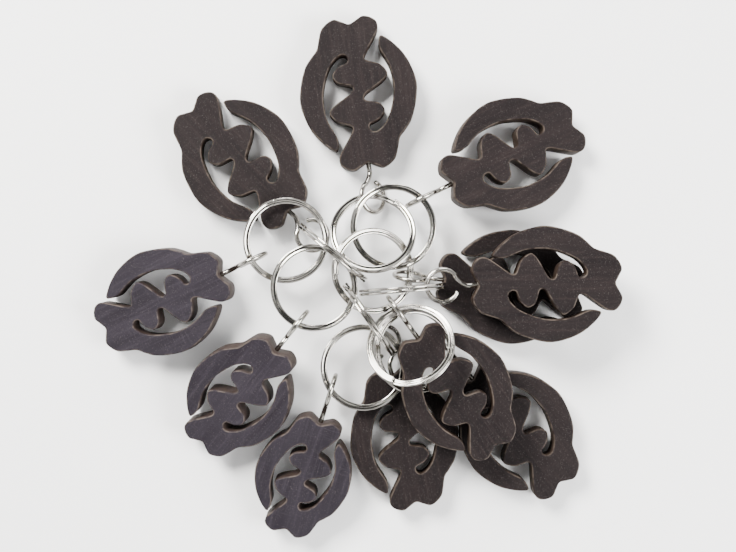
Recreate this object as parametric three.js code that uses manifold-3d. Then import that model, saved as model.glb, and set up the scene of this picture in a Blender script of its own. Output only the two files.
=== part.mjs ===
// A bunch of eleven wooden keychains, linked ring through ring and laid out in a flower.
// Each keychain is a sawn ebony pendant in the traditional Gye Nyame outline, a screw eye
// turned into its end, and a double-coil split ring.
// Millimetres, +Z up, standing on z = 0, with the origin under the middle of the bunch.

import * as THREE from 'three';
import { mergeVertices } from 'three/addons/utils/BufferGeometryUtils.js';
import Module from 'manifold-3d';

// ---------------------------------------------------------------- driving dimensions
const BOARD = 8;              // thickness of the pendants
const ENTRY_X = -22;          // the notch where the screw eye enters, on the pendant's own axis

const SPREAD = 4;             // how far the keychains are drawn out of the tangle

const RING_RADIUS = 13;       // centreline of the split ring's wire
const RING_WIRE = 2.0;        // radial width of the wire
const RING_LEAF = 0.9;        // axial thickness of one coil
const RING_PITCH = 1.15;      // axial distance between the two coils
const RING_STEPS = 24;        // steps in one turn
const CROSSOVER_FROM = 320;   // degrees where the wire starts to climb to its second coil
const CROSSOVER_TO = 355;
const RING_END = 675;         // degrees of wire in all: the second coil stops short of the climb

const EYE_RADIUS = 5.15;      // centreline of the screw eye's loop
const EYE_WIRE = 0.85;        // radius of its wire
const NECK = 6;               // bare shank between the pendant and the loop
const THREAD = 8;             // shank inside the wood
const BEND_START = 3.6;       // distance from the pendant where the shank bends into the loop
const LOOP_START = 22;        // degrees from the shank where the loop starts and where it stops
const LOOP_POINTS = 15;
const EYE_STEPS = 26;
const EYE_SIDES = 6;
const CLEARANCE = 0.42;       // between the shank and its hole
const HOLE_LEAD = 2;          // how far outside the notch the hole's cutter starts
const HOLE_SIDES = 8;

const WOOD = { color: 0x3a3230, roughness: 0.75, metalness: 0 };
const NICKEL = { color: 0xc9c7c0, roughness: 0.25, metalness: 1 };

// Half of the pendant's outline, from the eye's notch over the upper side to the far notch.
// The other half is the same turned by 180 degrees. One smooth curve runs through the points.
const HALF_OUTLINE = [
  [-22, 0], [-24, 4.5], [-22.3, 8.3], [-18.8, 8.6],                               // knob
  [-12.4, 4.1], [-10.1, 3.8],
  [-8.5, 7.6], [-5, 10], [-2.2, 7],                                               // first lobe
  [0.4, 2.4], [2.4, 2],
  [3.7, 5.9], [6.4, 7.5], [9, 5.3],                                               // second lobe
  [10.1, 2.4], [11.8, 2.3], [12.4, 4.3],                                          // end of the slot
  [9, 8], [1, 11], [-7, 10.8], [-12.6, 8.6],                                      // crescent, inside
  [-16, 8.6], [-16.8, 10.3],                                                      // its free tip
  [-10.5, 15.9], [-0.5, 18.7], [10, 15.7], [15.2, 11.3],                          // crescent, outside
  [21.3, 9], [24, 4.5],                                                           // knob
];
const OUTLINE_STEPS = 2;      // straight steps between two points of the curve

// One row for each keychain. pendant: place of its middle before it is drawn out by SPREAD, the
// heading of its far end, the pitch that lifts the eye end and its size, because each is sawn by
// hand. eye: its turn about
// the shank. ring: it starts at the middle of its own eye, runs towards a heading, climbs from
// level, is banked about that line, and has its split at an angle round it. All in degrees.
const KEYCHAINS = [
  {
    name: 'top',
    pendant: { x: 3.5, y: 57, z: 4.5, heading: 98, pitch: 0, size: 1.04 },
    eye: 45,
    ring: { toward: 270, climb: 22, bank: 0, split: 200 },
  },
  {
    name: 'upper_left',
    pendant: { x: -33, y: 36, z: 5, heading: 134, pitch: 1, size: 1.03 },
    eye: 10,
    ring: { toward: 320, climb: 45, bank: 90, split: 0 },
  },
  {
    name: 'upper_right',
    pendant: { x: 49.5, y: 39, z: 7.2, heading: 26, pitch: 6, size: 1 },
    eye: 90,
    ring: { toward: 225, climb: 0, bank: 0, split: 90 },
  },
  {
    name: 'right',
    pendant: { x: 59.2, y: -1.5, z: 17.2, heading: 1, pitch: 1, size: 1 },
    eye: 0,
    ring: { toward: 185, climb: 0, bank: 90, split: 300 },
  },
  {
    name: 'right_under',
    pendant: { x: 48.8, y: -2, z: 5.35, heading: -6, pitch: 3, size: 1 },
    eye: -75,
    ring: { toward: 172, climb: 19, bank: 3, split: 60 },
  },
  {
    name: 'left',
    pendant: { x: -57, y: -5.5, z: 7.5, heading: 205, pitch: 8, size: 0.95 },
    eye: 90,
    ring: { toward: 30, climb: -5, bank: 10, split: 120 },
  },
  {
    name: 'lower_left',
    pendant: { x: -33, y: -34.5, z: 10, heading: 231, pitch: 15, size: 0.9 },
    eye: 90,
    ring: { toward: 65, climb: 0, bank: 0, split: 0 },
  },
  {
    name: 'lower_left_end',
    pendant: { x: -13.8, y: -60, z: 8, heading: 252, pitch: 9, size: 0.84 },
    eye: 90,
    ring: { toward: 35, climb: -5, bank: 0, split: 0 },
  },
  {
    name: 'bottom',
    pendant: { x: 17.1, y: -48.2, z: 4.8, heading: 281, pitch: 1, size: 0.96 },
    eye: -25,
    ring: { toward: 125, climb: 45, bank: 90, split: 0 },
  },
  {
    name: 'lower_right',
    pendant: { x: 32, y: -32.5, z: 19.4, heading: 306, pitch: 3, size: 0.95 },
    eye: 90,
    ring: { toward: 290, climb: 28, bank: 0, split: 0 },
  },
  {
    name: 'lower_right_under',
    pendant: { x: 52, y: -46.5, z: 5.5, heading: 310, pitch: 3, size: 1 },
    eye: 90,
    ring: { toward: 175, climb: 20, bank: 5, split: 120 },
  },
];

const rad = THREE.MathUtils.degToRad;
const UP = new THREE.Vector3(0, 0, 1);

// ---------------------------------------------------------------- solids
const manifold = await Module();
manifold.setup();

function toSolid(geometry) {
  const bare = geometry.clone();
  bare.deleteAttribute('normal');
  bare.deleteAttribute('uv');
  const merged = mergeVertices(bare);
  const mesh = new manifold.Mesh({
    numProp: 3,
    vertProperties: new Float32Array(merged.attributes.position.array),
    triVerts: new Uint32Array(merged.index.array),
  });
  return new manifold.Manifold(mesh);
}

function toGeometry(solid) {
  const { vertProperties, triVerts } = solid.getMesh();
  const geometry = new THREE.BufferGeometry();
  geometry.setAttribute('position', new THREE.BufferAttribute(vertProperties, 3));
  geometry.setIndex(new THREE.BufferAttribute(triVerts, 1));
  geometry.computeVertexNormals();
  return geometry;
}

// ---------------------------------------------------------------- pendant
function boardGeometry(size) {
  const half = HALF_OUTLINE.map(([x, y]) => new THREE.Vector3(x * size, y * size, 0));
  const points = [...half, ...half.map((point) => point.clone().negate())];
  const curve = new THREE.CatmullRomCurve3(points, true, 'catmullrom');
  const count = points.length * OUTLINE_STEPS;
  const corners = curve.getPoints(count).slice(0, count);
  const shape = new THREE.Shape(corners.map(({ x, y }) => new THREE.Vector2(x, y)));
  const geometry = new THREE.ExtrudeGeometry(shape, { depth: BOARD, bevelEnabled: false });
  return geometry.translate(0, 0, -BOARD / 2);
}

// The screw eye's hole, which runs from outside the notch to just past the shank's end.
function pendantGeometry(size) {
  const radius = EYE_WIRE + CLEARANCE;
  const length = HOLE_LEAD + THREAD + CLEARANCE;
  const hole = new THREE.CylinderGeometry(radius, radius, length, HOLE_SIDES);
  hole.rotateZ(Math.PI / 2).translate(ENTRY_X * size - HOLE_LEAD + length / 2, 0, 0);
  return toGeometry(toSolid(boardGeometry(size)).subtract(toSolid(hole)));
}

// ---------------------------------------------------------------- screw eye
function polygon(radius, sides) {
  const points = [];
  for (let i = 0; i < sides; i += 1) {
    const angle = (2 * Math.PI * i) / sides;
    points.push(new THREE.Vector2(radius * Math.cos(angle), radius * Math.sin(angle)));
  }
  return new THREE.Shape(points);
}

// One wire: a straight shank along X, a short bend, and a loop that stops beside the shank.
// x = 0 is the notch of the pendant.
function eyeGeometry() {
  const middle = -NECK - EYE_RADIUS;
  const points = [THREAD, THREAD / 2, 0, -BEND_START].map((x) => new THREE.Vector3(x, 0, 0));
  for (let i = 0; i < LOOP_POINTS; i += 1) {
    const angle = rad(LOOP_START + ((360 - 2 * LOOP_START) * i) / (LOOP_POINTS - 1));
    const x = middle + EYE_RADIUS * Math.cos(angle);
    points.push(new THREE.Vector3(x, EYE_RADIUS * Math.sin(angle), 0));
  }
  return new THREE.ExtrudeGeometry(polygon(EYE_WIRE, EYE_SIDES), {
    steps: EYE_STEPS,
    extrudePath: new THREE.CatmullRomCurve3(points),
  });
}

// ---------------------------------------------------------------- split ring
// Two flat coils of one wire. The first climbs onto the second over a short crossover, and the
// two ends of the wire stop at either side of it.
function coilHeight(degrees) {
  const climb = THREE.MathUtils.smoothstep(degrees, CROSSOVER_FROM, CROSSOVER_TO);
  return RING_PITCH * (climb - 0.5);
}

function splitRingGeometry() {
  const count = Math.round((RING_STEPS * RING_END) / 360);
  const corners = [[-1, -1], [1, -1], [1, 1], [-1, 1]];
  const position = [];
  const index = [];
  for (let i = 0; i <= count; i += 1) {
    const degrees = (RING_END * i) / count;
    for (const [out, up] of corners) {
      const radius = RING_RADIUS + (out * RING_WIRE) / 2;
      position.push(radius * Math.cos(rad(degrees)), radius * Math.sin(rad(degrees)));
      position.push(coilHeight(degrees) + (up * RING_LEAF) / 2);
    }
  }
  for (let i = 0; i < count; i += 1) {
    for (let side = 0; side < 4; side += 1) {
      const a = 4 * i + side;
      const b = 4 * i + ((side + 1) % 4);
      index.push(a, b + 4, b, a, a + 4, b + 4);
    }
  }
  const last = 4 * count;
  index.push(0, 1, 2, 0, 2, 3, last, last + 2, last + 1, last, last + 3, last + 2);
  const geometry = new THREE.BufferGeometry();
  geometry.setAttribute('position', new THREE.Float32BufferAttribute(position, 3));
  geometry.setIndex(index);
  geometry.computeVertexNormals();
  return geometry;
}

// ---------------------------------------------------------------- assembly
function named(name, geometry, look) {
  const mesh = new THREE.Mesh(geometry, new THREE.MeshStandardMaterial(look));
  mesh.name = name;
  return mesh;
}

function keychain({ name, pendant, eye, ring }) {
  const group = new THREE.Group();

  const body = new THREE.Group();
  const outward = new THREE.Vector3(SPREAD, 0, 0).applyAxisAngle(UP, rad(pendant.heading));
  body.position.set(pendant.x, pendant.y, pendant.z).add(outward);
  body.rotation.set(0, rad(pendant.pitch), rad(pendant.heading), 'ZYX');
  body.updateMatrixWorld();
  body.add(named(`pendant_${name}`, pendantGeometry(pendant.size), WOOD));

  const screwEye = named(`screw_eye_${name}`, eyeGeometry(), NICKEL);
  screwEye.position.x = ENTRY_X * pendant.size;
  screwEye.rotation.x = rad(eye);
  body.add(screwEye);

  const splitRing = named(`split_ring_${name}`, splitRingGeometry(), NICKEL);
  const eyeMiddle = new THREE.Vector3(screwEye.position.x - NECK - EYE_RADIUS, 0, 0);
  splitRing.position.copy(body.localToWorld(eyeMiddle));
  splitRing.rotation.set(rad(ring.bank), -rad(ring.climb), rad(ring.toward), 'ZYX');
  splitRing.translateX(RING_RADIUS);
  splitRing.rotateZ(rad(ring.split));

  group.add(body, splitRing);
  return group;
}

const bunch = new THREE.Group();
bunch.add(...KEYCHAINS.map(keychain));
const extent = new THREE.Box3().setFromObject(bunch, true);
const middle = extent.getCenter(new THREE.Vector3());
bunch.position.set(-middle.x, -middle.y, -extent.min.z);
export default bunch;
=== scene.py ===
"""A bunch of eleven wooden keychains lying on a pale table, seen from straight above."""

import math

import bmesh
import bpy
import numpy as np
from mathutils import Matrix, Vector
from mathutils.geometry import tessellate_polygon


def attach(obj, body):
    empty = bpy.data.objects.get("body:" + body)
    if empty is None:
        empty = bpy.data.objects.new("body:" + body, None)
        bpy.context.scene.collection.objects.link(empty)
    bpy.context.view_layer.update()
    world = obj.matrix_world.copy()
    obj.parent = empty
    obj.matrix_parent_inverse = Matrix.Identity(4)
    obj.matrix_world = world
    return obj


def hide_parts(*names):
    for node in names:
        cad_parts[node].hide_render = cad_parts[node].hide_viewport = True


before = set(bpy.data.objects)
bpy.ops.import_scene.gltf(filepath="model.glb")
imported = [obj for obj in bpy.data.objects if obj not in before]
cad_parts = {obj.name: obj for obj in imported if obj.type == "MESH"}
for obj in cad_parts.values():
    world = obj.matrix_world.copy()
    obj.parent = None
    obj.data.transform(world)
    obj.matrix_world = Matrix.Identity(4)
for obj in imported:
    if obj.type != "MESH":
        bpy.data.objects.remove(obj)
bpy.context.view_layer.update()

MM = 0.001

# ---------------------------------------------------------------- pendant, in metres
EDGE = 0.45 * MM             # rounding of the sawn edges
EDGE_TURNS = (20, 45, 70)    # degrees round the edge where it has a row of corners
SKIN = 0.08 * MM             # the smooth outline lies this far inside the frame's own
OUTLINE_STEPS = 6            # points from one corner of the outline to the next
FITTING_ROUNDS = 6           # rounds that settle a pendant's middle
COOL = ("left", "lower_left", "lower_left_end")     # pendants of cooler, greyer wood

# ---------------------------------------------------------------- split ring, in metres and degrees
RING_RADIUS = 13 * MM
RING_WIRE = 2.0 * MM         # radial width of the wire
RING_LEAF = 0.9 * MM         # axial thickness of one coil
RING_PITCH = 1.15 * MM       # axial distance between the two coils
CROSSOVER_FROM, CROSSOVER_TO = 320.0, 355.0         # where the wire climbs to its second coil
RING_GAP = (CROSSOVER_FROM + CROSSOVER_TO) / 2      # middle of the stretch with only one coil
RING_END = 675.0             # degrees of wire in all
RING_SEGMENTS = 300
RING_SIDES = 28
CORNER_OUT, CORNER_UP = 0.7, 0.55    # powers that square the wire's section, lower is squarer
GROOVE = 0.55                # depth of the rolled groove in each flat side, in half leaves
GROOVE_WIDTH = 0.22          # its half width, in half wires
SEARCH_STEP = 3              # degrees between the directions tried for the one-coil stretch
SEARCH_REACH = 30            # degrees to each side that count in one direction

# ---------------------------------------------------------------- screw eye, in metres and degrees
EYE_RADIUS = 5.15 * MM
EYE_WIRE = 0.79 * MM         # radius of the wire
NECK = 6 * MM                # bare shank between the pendant and the loop
BEND_START = 3.6 * MM        # distance from the pendant where the shank bends into the loop
THREAD = 8 * MM              # shank inside the wood
LOOP_START = 22              # degrees from the shank where the loop starts and where it stops
LOOP_POINTS = 15
LOOP_STEPS = 8               # rows of the wire from one of those points to the next
TIP_SHARES = (0.92, 0.72)    # thickness of the last two rows, where the cut end is rounded off
EYE_SIDES = 16

# ---------------------------------------------------------------- floor, light, camera
FLOOR_HALF = 1.5
CAMERA_PLACE = (0.0043, 0.0002, 0.503)
LENS = 74.0
LIGHTS = (                   # name, place, size, power, colour
    ("key", (-0.45, 0.55, 0.75), 0.40, 38.0, (1.0, 0.98, 0.95)),
    ("fill", (0.7, -0.2, 0.6), 0.5, 19.0, (1, 1, 1)),
    ("back", (0.1, 0.8, 0.35), 0.3, 5.0, (1, 1, 1)),
)

# ---------------------------------------------------------------- colours
COOL_WOOD = ((0.011, 0.009, 0.012, 1), (0.018, 0.015, 0.0195, 1), (0.034, 0.029, 0.036, 1))
WARM_WOOD = ((0.0055, 0.0040, 0.0042, 1), (0.010, 0.0072, 0.0072, 1), (0.022, 0.0155, 0.0145, 1))
SPECK = (0.10, 0.090, 0.085, 1)
WORN_WOOD = (0.13, 0.105, 0.085, 1)
SAWN_SIDE = (0.040, 0.024, 0.015, 1)
RING_NICKEL = (0.35, 0.335, 0.305, 1)
EYE_NICKEL = (0.33, 0.315, 0.285, 1)
DULL_NICKEL = (0.25, 0.24, 0.22, 1)
RUBBED_NICKEL = (0.72, 0.69, 0.65, 1)
HANDLING_MARK = (0.20, 0.18, 0.16, 1)
TABLE_LOW, TABLE_HIGH = (0.88, 0.88, 0.88, 1), (0.93, 0.93, 0.925, 1)


# ---------------------------------------------------------------- materials
class Shader:
    """A material's node tree, with a short way to add and join nodes."""

    def __init__(self, name):
        self.material = bpy.data.materials.new(name)
        self.material.use_nodes = True
        self.tree = self.material.node_tree
        self.surface = self.tree.nodes["Principled BSDF"]

    def add(self, kind, inputs=(), **settings):
        node = self.tree.nodes.new("ShaderNode" + kind)
        for key, value in settings.items():
            setattr(node, key, value)
        for key, value in dict(inputs).items():
            self.put(node.inputs[key], value)
        return node

    def put(self, socket, value):
        if isinstance(value, bpy.types.NodeSocket):
            self.tree.links.new(value, socket)
        else:
            socket.default_value = value

    def value_of(self, attribute):
        return self.add("Attribute", attribute_name=attribute).outputs["Fac"]

    def own_place(self):
        """A point's place in the piece's own axes, so that grain follows each piece."""
        return self.add("Attribute", attribute_name="own").outputs["Vector"]

    def noise(self, vector, scale, detail=4.0, rough=0.55):
        inputs = {"Vector": vector, "Scale": scale, "Detail": detail, "Roughness": rough}
        return self.add("TexNoise", inputs).outputs["Fac"]

    def streaks(self, vector, scales, detail, rough=0.55):
        """Noise with its own scale along each axis."""
        stretched = self.add("Mapping", {"Vector": vector, "Scale": scales}).outputs["Vector"]
        return self.noise(stretched, 1.0, detail, rough)

    def ramp(self, value, low, high, to_low=0.0, to_high=1.0):
        inputs = {"Value": value, "From Min": low, "From Max": high,
                  "To Min": to_low, "To Max": to_high}
        return self.add("MapRange", inputs).outputs["Result"]

    def times(self, a, b):
        node = self.add("Math", operation="MULTIPLY")
        self.put(node.inputs[0], a)
        self.put(node.inputs[1], b)
        return node.outputs[0]

    def mix(self, factor, a, b):
        node = self.add("Mix", data_type="RGBA")
        colours = [socket for socket in node.inputs if socket.type == "RGBA"]
        self.put(node.inputs[0], factor)
        self.put(colours[0], a)
        self.put(colours[1], b)
        return next(socket for socket in node.outputs if socket.type == "RGBA")

    def bump(self, height, strength, distance, normal=None):
        inputs = {"Height": height, "Strength": strength, "Distance": distance}
        if normal is not None:
            inputs["Normal"] = normal
        return self.add("Bump", inputs).outputs["Normal"]


def wood(name, dark, mid, pale, seed):
    """Sanded dark wood with its grain along the pendant's own X."""
    s = Shader(name)
    shift = {"Vector": s.own_place(), "Location": (seed, seed * 0.7, 0)}
    place = s.add("Mapping", shift).outputs["Vector"]
    grain = s.streaks(place, (60, 900, 500), 8.0, 0.65)
    band = s.streaks(place, (25, 180, 120), 3.0)
    scratch = s.streaks(place, (2600, 160, 400), 2.0)
    patch = s.noise(place, 70.0, 3.0)
    speck = s.noise(place, 3600.0, 2.0)

    colour = s.mix(s.ramp(band, 0.35, 0.68), dark, mid)
    colour = s.mix(s.ramp(grain, 0.50, 0.75, 0.0, 0.6), colour, pale)
    colour = s.mix(s.ramp(patch, 0.4, 0.7, 0.0, 0.35), colour, mid)
    colour = s.mix(s.ramp(scratch, 0.60, 0.75, 0.0, 0.3), colour, pale)
    colour = s.mix(s.ramp(speck, 0.63, 0.73, 0.0, 0.5), colour, SPECK)
    worn = s.times(s.value_of("wear"), s.ramp(s.noise(place, 420.0, 4.0), 0.40, 0.58))
    colour = s.mix(s.times(worn, 0.42), colour, WORN_WOOD)
    colour = s.mix(s.times(s.value_of("side"), 0.45), colour, SAWN_SIDE)

    s.put(s.surface.inputs["Base Color"], colour)
    s.put(s.surface.inputs["Roughness"], s.ramp(patch, 0.3, 0.7, 0.50, 0.68))
    s.surface.inputs["Specular IOR Level"].default_value = 0.08
    pores = s.bump(grain, 0.35, 0.2 * MM)
    sanding = s.bump(scratch, 0.25, 0.1 * MM, pores)
    s.put(s.surface.inputs["Normal"], s.bump(patch, 0.2, 0.6 * MM, sanding))
    return s.material


def nickel(name, rough_low, rough_high, tint):
    """Polished nickel plate with rubbed edges and faint handling marks."""
    s = Shader(name)
    place = s.own_place()
    cloud = s.noise(place, 160.0, 4.0)
    rub = s.streaks(place, (900, 900, 5200), 3.0)
    mark = s.noise(place, 1500.0, 2.0)

    colour = s.mix(s.ramp(cloud, 0.35, 0.7, 0.0, 0.5), tint, DULL_NICKEL)
    worn = s.times(s.value_of("wear"), s.ramp(cloud, 0.4, 0.6))
    colour = s.mix(s.times(worn, 0.5), colour, RUBBED_NICKEL)
    colour = s.mix(s.ramp(mark, 0.64, 0.74, 0.0, 0.45), colour, HANDLING_MARK)

    s.put(s.surface.inputs["Base Color"], colour)
    s.surface.inputs["Metallic"].default_value = 1.0
    s.put(s.surface.inputs["Roughness"], s.ramp(rub, 0.3, 0.7, rough_low, rough_high))
    s.put(s.surface.inputs["Normal"], s.bump(rub, 0.08, 0.05 * MM))
    return s.material


def pale_table():
    s = Shader("table")
    cloudy = s.noise(s.add("TexCoord").outputs["Object"], 6.0, 3.0)
    s.put(s.surface.inputs["Base Color"], s.mix(cloudy, TABLE_LOW, TABLE_HIGH))
    s.surface.inputs["Roughness"].default_value = 0.6
    return s.material


# ---------------------------------------------------------------- reading the frame
def points_of(node):
    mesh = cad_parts[node].data
    return np.array([v.co for v in mesh.vertices], float).reshape(-1, 3)


def own_points(points, matrix):
    """Points of the shared frame in a piece's own axes."""
    back = np.array(matrix.inverted())
    return points @ back[:3, :3].T + back[:3, 3]


def placed(origin, x, z):
    """Matrix that puts a piece's own axes at an origin, with Z along z and X as near x as it can be."""
    z = z.normalized()
    y = z.cross(x).normalized()
    x = y.cross(z)
    matrix = Matrix((x, y, z)).transposed().to_4x4()
    matrix.translation = origin
    return matrix


def fitted_plane(points):
    """Middle and unit normal of the plane that the points lie nearest to."""
    middle = points.mean(0)
    normal = np.linalg.svd(points - middle, full_matrices=False)[2][2]
    return Vector(middle), Vector(normal if normal[2] >= 0 else -normal)


def pendant_frame(name):
    """A pendant's own axes: X from the eye to the far end, Z out of its upper face."""
    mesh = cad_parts[f"pendant_{name}"].data
    face = max(mesh.polygons, key=lambda polygon: polygon.area).normal.copy()
    face = face if face.z > 0 else -face
    eye = Vector(points_of(f"screw_eye_{name}").mean(0))
    points = points_of(f"pendant_{name}")
    middle = Vector((points.min(0) + points.max(0)) / 2)
    for _ in range(FITTING_ROUNDS):
        axis = middle - eye
        axis -= face * axis.dot(face)
        axis.normalize()
        matrix = placed(middle, axis, face)
        own = own_points(points, matrix)
        outer = own[np.abs(own[:, 2]) > np.abs(own[:, 2]).max() * 0.5]
        middle = matrix @ Vector((outer.min(0) + outer.max(0)) / 2)
    return placed(middle, axis, face)


def fitted_ring(node):
    """A split ring's own axes: Z along its axis, and its one-coil stretch at RING_GAP."""
    points = points_of(node)
    middle, normal = fitted_plane(points)
    side = normal.orthogonal().normalized()
    own = own_points(points, placed(middle, side, normal))
    design = np.c_[2 * own[:, :2], np.ones(len(own))]
    circle = np.linalg.lstsq(design, (own[:, :2] ** 2).sum(1), rcond=None)[0]
    level = (own[:, 2].min() + own[:, 2].max()) / 2
    centre = placed(middle, side, normal) @ Vector((circle[0], circle[1], level))
    matrix = placed(centre, side, normal)
    own = own_points(points, matrix)
    turn = np.arctan2(own[:, 1], own[:, 0])
    reach = math.radians(SEARCH_REACH)
    best, fewest = 0.0, len(points)
    for degrees in range(0, 360, SEARCH_STEP):
        away = np.abs((turn - math.radians(degrees) + math.pi) % (2 * math.pi) - math.pi)
        weight = np.clip(reach - away, 0, None).sum()
        if weight < fewest:
            best, fewest = math.radians(degrees), weight
    return matrix @ Matrix.Rotation(best - math.radians(RING_GAP), 4, "Z")


# ---------------------------------------------------------------- mesh helpers
def add_mesh(name, vertices, faces, matrix, material, values=(), flat_faces=()):
    """A piece from vertices in its own axes, with a value at each vertex under each name."""
    mesh = bpy.data.meshes.new(name)
    mesh.from_pydata([matrix @ Vector(v) for v in vertices], [], faces)
    own = mesh.attributes.new("own", "FLOAT_VECTOR", "POINT")
    own.data.foreach_set("vector", [c for v in vertices for c in v])
    for key, numbers in dict(values).items():
        layer = mesh.attributes.new(key, "FLOAT", "POINT")
        layer.data.foreach_set("value", numbers)
    flat = set(flat_faces)
    for index, polygon in enumerate(mesh.polygons):
        polygon.use_smooth = index not in flat
    mesh.materials.append(material)
    mesh.update()
    piece = bpy.data.objects.new(name, mesh)
    bpy.context.scene.collection.objects.link(piece)
    return piece


def curve_span(a, b, c, d, steps):
    """Points of a Catmull-Rom curve from b up to c, with a before and d after them."""
    span = []
    for step in range(steps):
        t = step / steps
        span.append(0.5 * (2 * b + (c - a) * t + (2 * a - 5 * b + 4 * c - d) * t * t
                           + (3 * b - a - 3 * c + d) * t ** 3))
    return span


def closed_curve(points, steps):
    count = len(points)
    curve = []
    for i in range(count):
        curve += curve_span(*(points[(i + k) % count] for k in (-1, 0, 1, 2)), steps)
    return curve


def open_curve(points, steps):
    ends = [points[0] * 2 - points[1], *points, points[-1] * 2 - points[-2]]
    curve = []
    for i in range(len(points) - 1):
        curve += curve_span(*ends[i:i + 4], steps)
    return curve + [points[-1]]


def wire_faces(rows, sides):
    """Faces that join the rows of a wire's section, and then its two end faces."""
    faces = []
    for row in range(rows - 1):
        for side in range(sides):
            a, b = row * sides + side, row * sides + (side + 1) % sides
            faces.append((a, a + sides, b + sides, b))
    last = (rows - 1) * sides
    faces.append(tuple(range(sides)))
    faces.append(tuple(last + side for side in reversed(range(sides))))
    return faces


def add_wire(name, vertices, sides, matrix, material, wear):
    faces = wire_faces(len(vertices) // sides, sides)
    ends = (len(faces) - 2, len(faces) - 1)
    return add_mesh(name, vertices, faces, matrix, material, {"wear": wear}, ends)


# ---------------------------------------------------------------- pendants
def walk(neighbours):
    """The corners of a closed loop in order, from a table of each one's two neighbours."""
    start = min(neighbours)
    loop, last, here = [start], None, start
    while True:
        following = [n for n in neighbours[here] if n != last]
        last, here = here, following[0]
        if here == start:
            return loop
        loop.append(here)


def outline_of(node, matrix):
    """The corners of the pendant's upper face, anticlockwise in its own axes, and its height."""
    mesh = bmesh.new()
    mesh.from_mesh(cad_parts[node].data)
    bmesh.ops.remove_doubles(mesh, verts=mesh.verts, dist=0.01 * MM)
    back = matrix.inverted()
    up = matrix.to_3x3().col[2]
    top = max((back @ v.co).z for v in mesh.verts)
    cap = {f for f in mesh.faces if abs(f.normal.dot(up)) > 0.99
           and (back @ f.calc_center_median()).z > top * 0.9}
    neighbours = {}
    for edge in mesh.edges:
        if sum(f in cap for f in edge.link_faces) == 1:
            a, b = edge.verts
            neighbours.setdefault(a.index, []).append(b.index)
            neighbours.setdefault(b.index, []).append(a.index)
    mesh.verts.ensure_lookup_table()
    corners = [(back @ mesh.verts[i].co).to_2d() for i in walk(neighbours)]
    mesh.free()
    area = sum(p.x * q.y - q.x * p.y for p, q in zip(corners, corners[1:] + corners[:1]))
    return (corners if area > 0 else corners[::-1]), top


def inset(loop, distance):
    """The closed loop moved inwards by a distance."""
    moved = []
    for i, point in enumerate(loop):
        along = (loop[(i + 1) % len(loop)] - loop[i - 1]).normalized()
        moved.append(point + Vector((-along.y, along.x)) * distance)
    return moved


def edge_profile(half):
    """Rows from the upper face down over the rounded edge: inset, height, wear, side wall."""
    rows = [(EDGE, half, 0.0, 0.0)]
    for degrees in EDGE_TURNS:
        turn = math.radians(degrees)
        depth, drop = EDGE * (1 - math.sin(turn)), EDGE * (1 - math.cos(turn))
        rows.append((depth, half - drop, 1.0, 0.2))
    rows.append((0.0, half - EDGE, 0.35, 1.0))
    lower = [(depth, -height, wear, side) for depth, height, wear, side in reversed(rows)]
    return rows + lower


def pendant(name, material):
    """A sawn board with softened edges. Returns its own axes."""
    node = f"pendant_{name}"
    matrix = pendant_frame(name)
    corners, half = outline_of(node, matrix)
    curve = inset(closed_curve(corners, OUTLINE_STEPS), SKIN)
    count = len(curve)
    profile = edge_profile(half)
    vertices, wear, side = [], [], []
    for depth, height, worn, wall in profile:
        vertices += [(point.x, point.y, height) for point in inset(curve, depth)]
        wear += [worn] * count
        side += [wall] * count
    faces = []
    for row in range(len(profile) - 1):
        for i in range(count):
            a, b = row * count + i, row * count + (i + 1) % count
            faces.append((a, a + count, b + count, b))
    walls = len(faces)
    top = [Vector(v) for v in vertices[:count]]
    last = len(vertices) - count
    for a, b, c in tessellate_polygon([top]):
        if (top[b] - top[a]).cross(top[c] - top[a]).z < 0:
            b, c = c, b
        faces.append((a, b, c))
        faces.append((last + a, last + c, last + b))
    piece = add_mesh(f"wood_{name}", vertices, faces, matrix, material,
                     {"wear": wear, "side": side}, range(walls, len(faces)))
    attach(piece, f"pendant_{name}")
    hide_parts(node)
    return matrix


# ---------------------------------------------------------------- screw eyes
def eye_path():
    """The wire's middle line: shank along X, a bend, and a loop that stops beside the shank."""
    middle = -NECK - EYE_RADIUS
    points = [Vector((x, 0, 0)) for x in (THREAD, 0, -BEND_START)]
    for i in range(LOOP_POINTS):
        turn = math.radians(LOOP_START + (360 - 2 * LOOP_START) * i / (LOOP_POINTS - 1))
        points.append(Vector((middle + EYE_RADIUS * math.cos(turn), EYE_RADIUS * math.sin(turn), 0)))
    return open_curve(points, LOOP_STEPS)


def screw_eye(name, body_matrix, material):
    """A bent wire eye whose loop lies in the plane of the frame's own."""
    node = f"screw_eye_{name}"
    points = points_of(node)
    normal = fitted_plane(points)[1]
    axis = body_matrix.to_3x3().col[0]
    entry = (points @ np.array(axis)).max() - THREAD
    origin = body_matrix.translation + axis * (entry - body_matrix.translation.dot(axis))
    matrix = placed(origin, axis, normal - axis * normal.dot(axis))
    path = eye_path()
    radius = [EYE_WIRE] * (len(path) - 2) + [EYE_WIRE * share for share in TIP_SHARES]
    across = Vector((0, 0, 1))
    vertices = []
    for i, point in enumerate(path):
        along = (path[min(i + 1, len(path) - 1)] - path[max(i - 1, 0)]).normalized()
        out = along.cross(across)
        for side in range(EYE_SIDES):
            turn = 2 * math.pi * side / EYE_SIDES
            vertices.append(point + (out * math.cos(turn) + across * math.sin(turn)) * radius[i])
    wear = [1.0 if abs(v.z) > EYE_WIRE * 0.8 else 0.0 for v in vertices]
    piece = add_wire(f"eye_{name}", vertices, EYE_SIDES, matrix, material, wear)
    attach(piece, f"pendant_{name}")
    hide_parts(node)


# ---------------------------------------------------------------- split rings
def powered(value, power):
    return math.copysign(abs(value) ** power, value)


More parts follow.
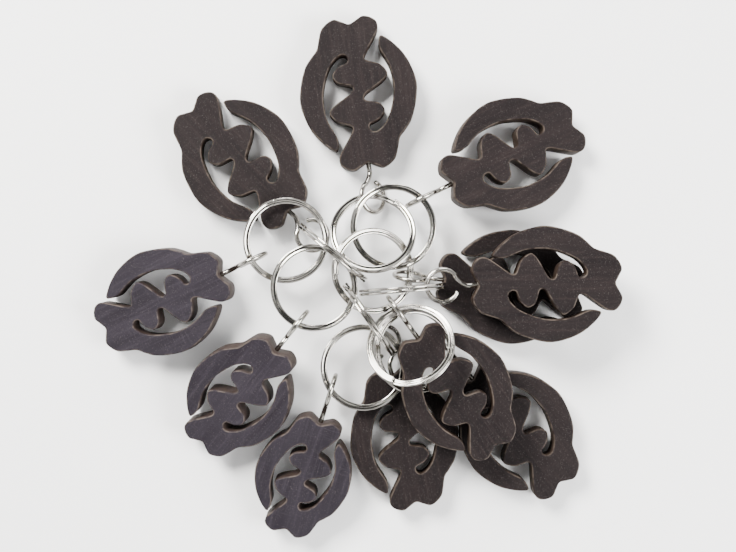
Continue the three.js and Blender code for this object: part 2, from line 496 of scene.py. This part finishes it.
def ring_section():
    """A flat wire's section with rounded corners and a groove in the middle of each flat side."""
    section = []
    for side in range(RING_SIDES):
        turn = 2 * math.pi * (side + 0.5) / RING_SIDES
        cosine, sine = math.cos(turn), math.sin(turn)
        groove = 1 - GROOVE * math.exp(-(cosine / GROOVE_WIDTH) ** 2)
        section.append((powered(cosine, CORNER_OUT) * RING_WIRE / 2,
                        powered(sine, CORNER_UP) * groove * RING_LEAF / 2))
    return section


def coil_height(degrees):
    share = (degrees - CROSSOVER_FROM) / (CROSSOVER_TO - CROSSOVER_FROM)
    share = min(max(share, 0), 1)
    return RING_PITCH * (share * share * (3 - 2 * share) - 0.5)


def split_ring(name, material):
    """Nearly two turns of one flat wire, the second lying on the first."""
    node = f"split_ring_{name}"
    section = ring_section()
    vertices, wear = [], []
    for i in range(RING_SEGMENTS + 1):
        degrees = RING_END * i / RING_SEGMENTS
        height, turn = coil_height(degrees), math.radians(degrees)
        for out, up in section:
            radius = RING_RADIUS + out
            vertices.append((radius * math.cos(turn), radius * math.sin(turn), height + up))
            corner = abs(out) > RING_WIRE * 0.3 and abs(up) > RING_LEAF * 0.3
            wear.append(1.0 if corner else 0.0)
    piece = add_wire(f"ring_{name}", vertices, RING_SIDES, fitted_ring(node), material, wear)
    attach(piece, f"ring_{name}")
    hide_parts(node)


# ---------------------------------------------------------------- surroundings
def table_floor():
    corners = [(x * FLOOR_HALF, y * FLOOR_HALF, 0) for x, y in ((-1, -1), (1, -1), (1, 1), (-1, 1))]
    floor = add_mesh("floor", corners, [(0, 1, 2, 3)], Matrix.Identity(4), pale_table())


def area_light(name, place, size, power, colour):
    """A soft square lamp that faces the origin."""
    light = bpy.data.lights.new(name, "AREA")
    light.size = size
    light.energy = power
    light.color = colour
    lamp = bpy.data.objects.new(name, light)
    bpy.context.scene.collection.objects.link(lamp)
    lamp.location = place
    lamp.rotation_euler = (-Vector(place)).to_track_quat("-Z", "Y").to_euler()


def studio_sky():
    """A pale horizon under a dim ceiling with soft bright patches, which gives metal its contrast."""
    world = bpy.data.worlds.new("studio")
    bpy.context.scene.world = world
    world.use_nodes = True
    sky = world.node_tree

    def add(kind, vector=None, **values):
        node = sky.nodes.new("ShaderNode" + kind)
        for key, value in values.items():
            node.inputs[key.replace("_", " ")].default_value = value
        if vector is not None:
            sky.links.new(vector, node.inputs[0])
        return node

    direction = add("TexCoord").outputs["Generated"]
    height = add("SeparateXYZ", direction).outputs["Z"]
    horizon = add("MapRange", height, From_Min=0.15, From_Max=0.5, To_Min=2.2, To_Max=0.12)
    cloud = add("TexNoise", direction, Scale=2.6, Detail=1.0).outputs["Fac"]
    patches = add("MapRange", cloud, From_Min=0.54, From_Max=0.60, To_Min=0.0, To_Max=2.6)
    total = add("Math", horizon.outputs["Result"])
    sky.links.new(patches.outputs["Result"], total.inputs[1])
    background = sky.nodes["Background"]
    sky.links.new(total.outputs[0], background.inputs["Strength"])
    background.inputs["Color"].default_value = (1, 1, 1, 1)


def overhead_camera():
    """A camera that looks straight down, as an unturned camera does."""
    data = bpy.data.cameras.new("camera")
    data.lens = LENS
    camera = bpy.data.objects.new("camera", data)
    bpy.context.scene.collection.objects.link(camera)
    camera.location = CAMERA_PLACE
    bpy.context.scene.camera = camera


# ---------------------------------------------------------------- the bunch
names = sorted(n[len("pendant_"):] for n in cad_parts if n.startswith("pendant_"))
ring_metal = nickel("ring nickel", 0.07, 0.18, RING_NICKEL)
eye_metal = nickel("eye nickel", 0.12, 0.24, EYE_NICKEL)
for index, name in enumerate(names):
    shades = COOL_WOOD if name in COOL else WARM_WOOD
    own_frame = pendant(name, wood(f"wood {name}", *shades, 0.31 * (index + 1)))
    screw_eye(name, own_frame, eye_metal)
    split_ring(name, ring_metal)

table_floor()
for light in LIGHTS:
    area_light(*light)
studio_sky()
overhead_camera()

# ---------------------------------------------------------------- update
bpy.context.view_layer.update()
